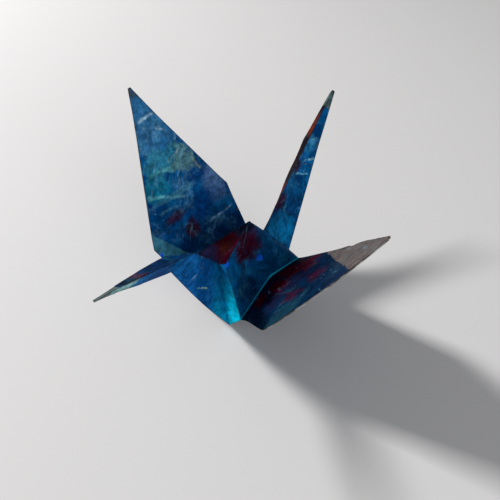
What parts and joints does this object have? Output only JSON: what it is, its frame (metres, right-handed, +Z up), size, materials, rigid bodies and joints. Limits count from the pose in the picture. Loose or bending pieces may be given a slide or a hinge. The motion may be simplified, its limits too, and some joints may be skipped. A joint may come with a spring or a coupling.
{
  "type": "origami crane",
  "caption": "Origami crane folded from a square of marbled paper, with raised curled wings, a bent neck, a pointed tail and a puffed hollow body that stands on a table.",
  "frame": {"origin": "middle of the crane's outline, on the table it stands on", "axes": "+Z up, +X from the neck towards the tail, +Y towards the steeper wing"},
  "size_m": [0.1252, 0.0916, 0.0721],
  "materials": {
    "paper": "smooth printed paper with a slight sheen"
  },
  "bodies": {
    "root": {"paper_crane": "paper"}
  },
  "joints": []
}
